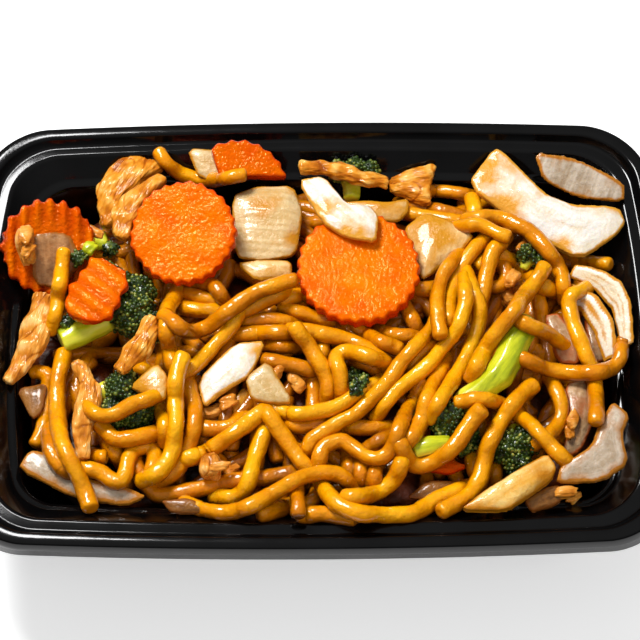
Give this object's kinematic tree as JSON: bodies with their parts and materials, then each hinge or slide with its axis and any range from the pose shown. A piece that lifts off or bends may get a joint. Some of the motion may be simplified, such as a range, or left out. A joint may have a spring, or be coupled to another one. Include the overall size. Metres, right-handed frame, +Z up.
{
  "type": "noodle takeaway box",
  "caption": "Black rectangular takeaway tray with a stepped rim, filled with stir-fried thick noodles, onion petals, fluted carrot slices, broccoli and chicken",
  "frame": {"origin": "middle of the tray's underside, on the table", "axes": "+X along the tray's length to the picture's right, +Y across it to the back, +Z up out of the tray"},
  "size_m": [0.2264, 0.1554, 0.0559],
  "materials": {
    "tray_black": "moulded black polypropylene, glossy",
    "noodle": "glazed wheat noodle, glossy wet",
    "onion": "cooked white onion, wet",
    "onion_sauced": "onion browned by sauce, wet",
    "carrot": "cooked carrot, wet",
    "broccoli": "cooked broccoli, buds and stem",
    "chicken": "cooked chicken in sauce"
  },
  "bodies": {
    "root": {"tray": "tray_black", "noodle_heap": "noodle", "onion_front_left": "onion", "onion_left_low": "onion_sauced", "onion_front_low": "onion_sauced", "onion_front_small": "onion", "carrot_front": "carrot", "onion_front_right_low": "onion_sauced", "onion_right_upper": "onion", "onion_right_outer": "onion_sauced", "onion_right_lower": "onion", "carrot_left": "carrot", "onion_on_carrot": "onion", "broccoli_left": "broccoli", "broccoli_lower_left": "broccoli", "chicken_left": "chicken", "chicken_lower_left": "chicken", "carrot_chunk": "carrot", "chicken_middle_left": "chicken", "chicken_bit_left": "chicken", "broccoli_back": "broccoli", "onion_back_left": "onion", "carrot_back": "carrot", "chicken_back_left": "chicken", "chicken_upper_left": "chicken", "chicken_back_middle": "chicken", "onion_back_middle": "onion_sauced", "chicken_back_right": "chicken", "onion_fan": "onion", "onion_far_right_back": "onion", "onion_far_right": "onion", "onion_curved_outer": "onion", "onion_curved_inner": "onion_sauced", "broccoli_right": "broccoli", "broccoli_right_front": "broccoli", "broccoli_small": "broccoli", "broccoli_stem": "broccoli", "onion_lower_right": "onion", "onion_front_right": "onion_sauced", "onion_broad": "onion", "onion_strip_middle": "onion_sauced", "carrot_upper_left": "carrot", "carrot_middle": "carrot", "onion_folded": "onion", "onion_middle_white": "onion", "onion_middle_square": "onion", "onion_pale_green": "onion_sauced", "chicken_cube": "chicken"}
  },
  "joints": []
}
